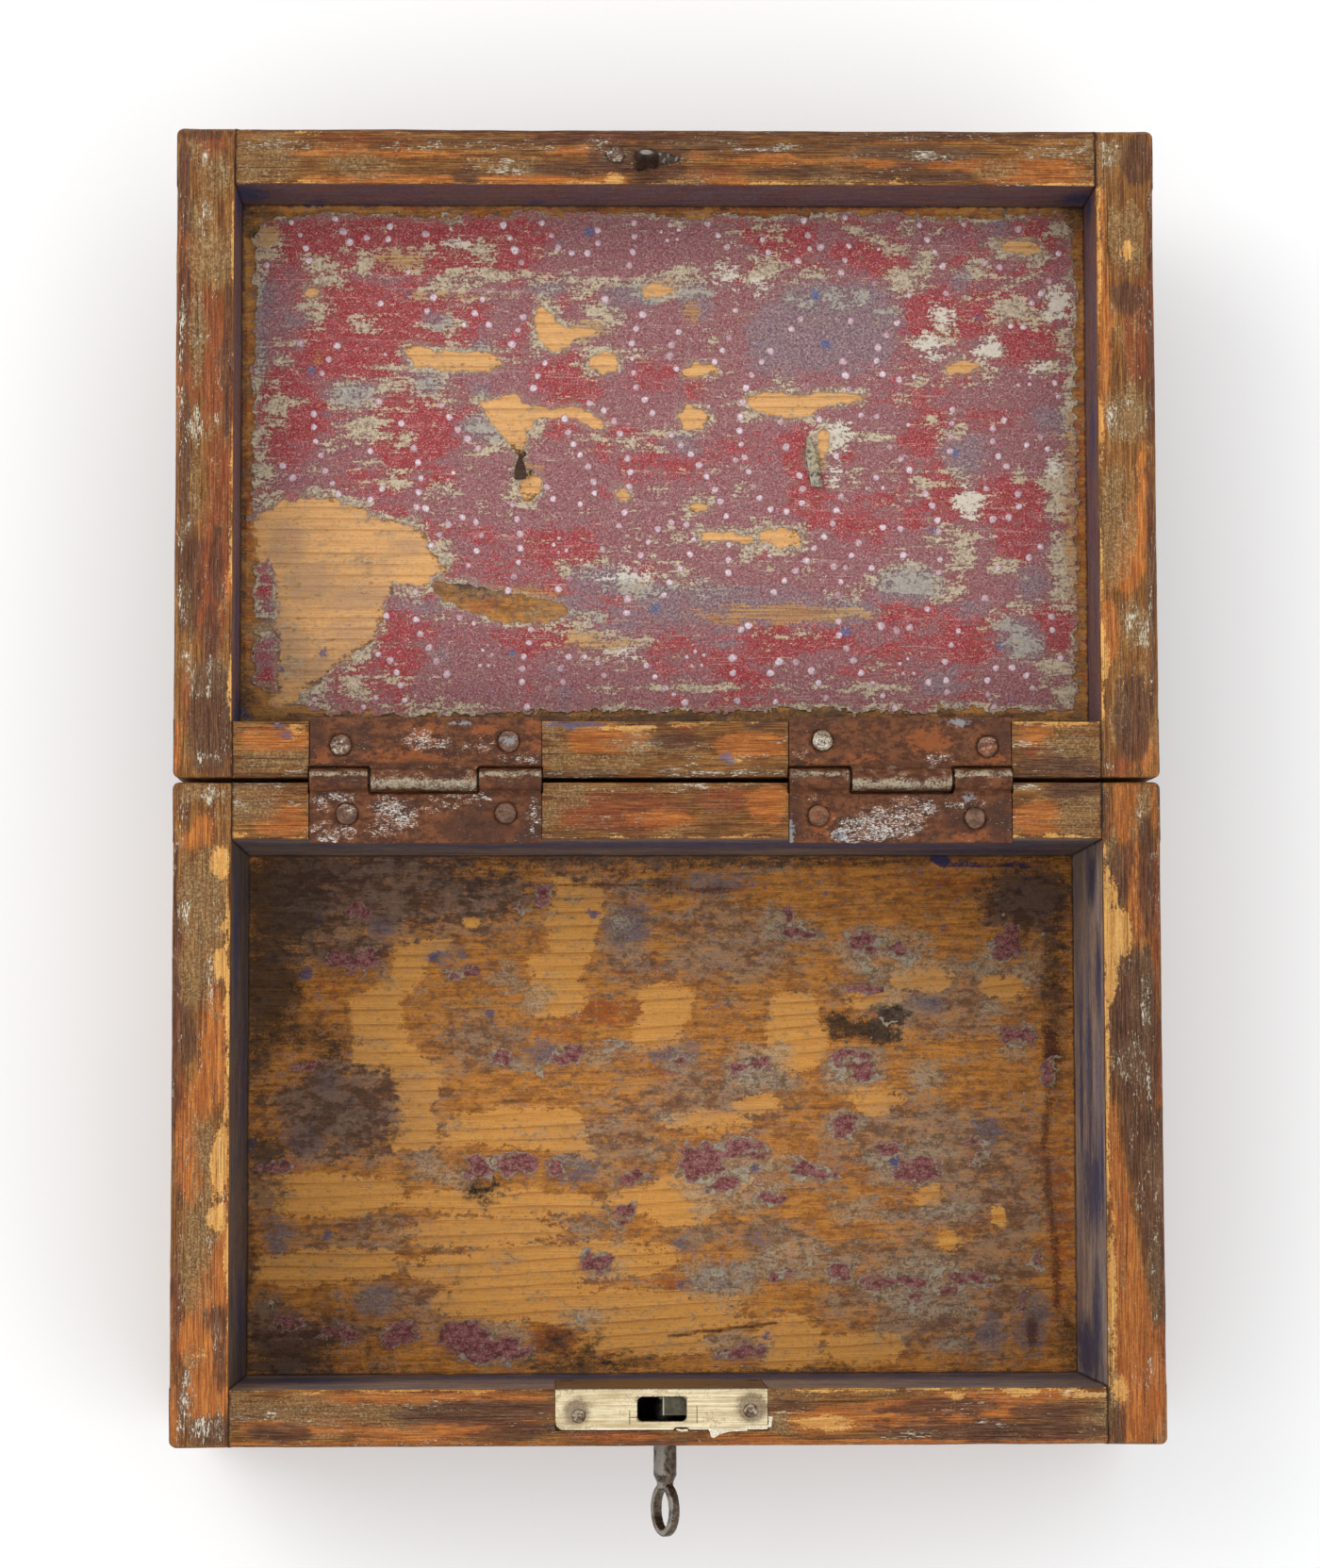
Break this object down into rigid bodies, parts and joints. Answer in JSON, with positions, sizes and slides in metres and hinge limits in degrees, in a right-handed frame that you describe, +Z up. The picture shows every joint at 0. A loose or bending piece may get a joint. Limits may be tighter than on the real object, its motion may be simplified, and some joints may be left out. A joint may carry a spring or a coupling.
{
  "type": "ditty box",
  "caption": "Old dovetailed pine keepsake box, lid open flat on iron butt hinges, worn paper lining, box lock with key, iron drop handle on the lid.",
  "frame": {"origin": "centre of the flat underside of the tray", "axes": "+Z up, -Y the front with the lock and key, +Y the hinge side with the lid swung open, +X the right as seen from the front"},
  "size_m": [0.3, 0.4298, 0.0993],
  "materials": {
    "pine": "old worn varnish",
    "rusty_iron": "rusty wrought iron, rubbed",
    "worn_steel": "dark, worn bright on the edges",
    "lock_brass": "pale, scratched and tarnished",
    "lining_paper": "matt, faded and torn"
  },
  "bodies": {
    "tray": {"left_hinge_pin": "rusty_iron", "left_hinge_tray_leaf": "rusty_iron", "left_hinge_tray_nails": "rusty_iron", "lock_back_nails": "rusty_iron", "lock_bolt_spring": "worn_steel", "lock_case": "rusty_iron", "lock_case_rivets": "rusty_iron", "lock_drill_pin": "rusty_iron", "lock_guide_stump": "rusty_iron", "lock_plate": "lock_brass", "lock_rim_nails": "rusty_iron", "right_hinge_pin": "rusty_iron", "right_hinge_tray_leaf": "rusty_iron", "right_hinge_tray_nails": "rusty_iron", "tray_back_board": "pine", "tray_bottom_board": "pine", "tray_bottom_nails": "rusty_iron", "tray_front_board": "pine", "tray_left_board": "pine", "tray_lining_remnants": "lining_paper", "tray_right_board": "pine"},
    "lid": {"lid_back_board": "pine", "lid_front_board": "pine", "lid_hook": "rusty_iron", "lid_hook_nail": "rusty_iron", "lid_left_board": "pine", "lid_lining_paper": "lining_paper", "lid_right_board": "pine", "lid_top_board": "pine", "lid_top_nails": "rusty_iron", "handle_left_staple": "rusty_iron", "handle_right_staple": "rusty_iron", "left_hinge_lid_leaf": "rusty_iron", "left_hinge_lid_nails": "rusty_iron", "right_hinge_lid_leaf": "rusty_iron", "right_hinge_lid_nails": "rusty_iron"},
    "lid_handle": {"lid_handle": "rusty_iron"},
    "key": {"key": "worn_steel"},
    "lock_bolt": {"lock_bolt": "worn_steel"}
  },
  "joints": [
    {"name": "lid_hinge", "type": "hinge", "parent": "tray", "child": "lid", "pos_m": [0, 0.1006, 0.08835], "axis": [1, 0, 0], "range_deg": [0, 180]},
    {"name": "handle_swing", "type": "hinge", "parent": "lid", "child": "lid_handle", "pos_m": [0, 0.2012, 0.0418], "axis": [1, 0, 0], "range_deg": [-88, 88]},
    {"name": "key_turn", "type": "hinge", "parent": "tray", "child": "key", "pos_m": [-0.0008, -0.1, 0.068], "axis": [0, 1, 0], "range_deg": [-30, 25]},
    {"name": "bolt_slide", "type": "slide", "parent": "tray", "child": "lock_bolt", "axis": [1, 0, 0], "range_m": [-0.0039, 0.00325]}
  ],
  "couplings": [
    {"joint": "bolt_slide", "follows": "key_turn", "m_per_rad": 0.0074}
  ]
}
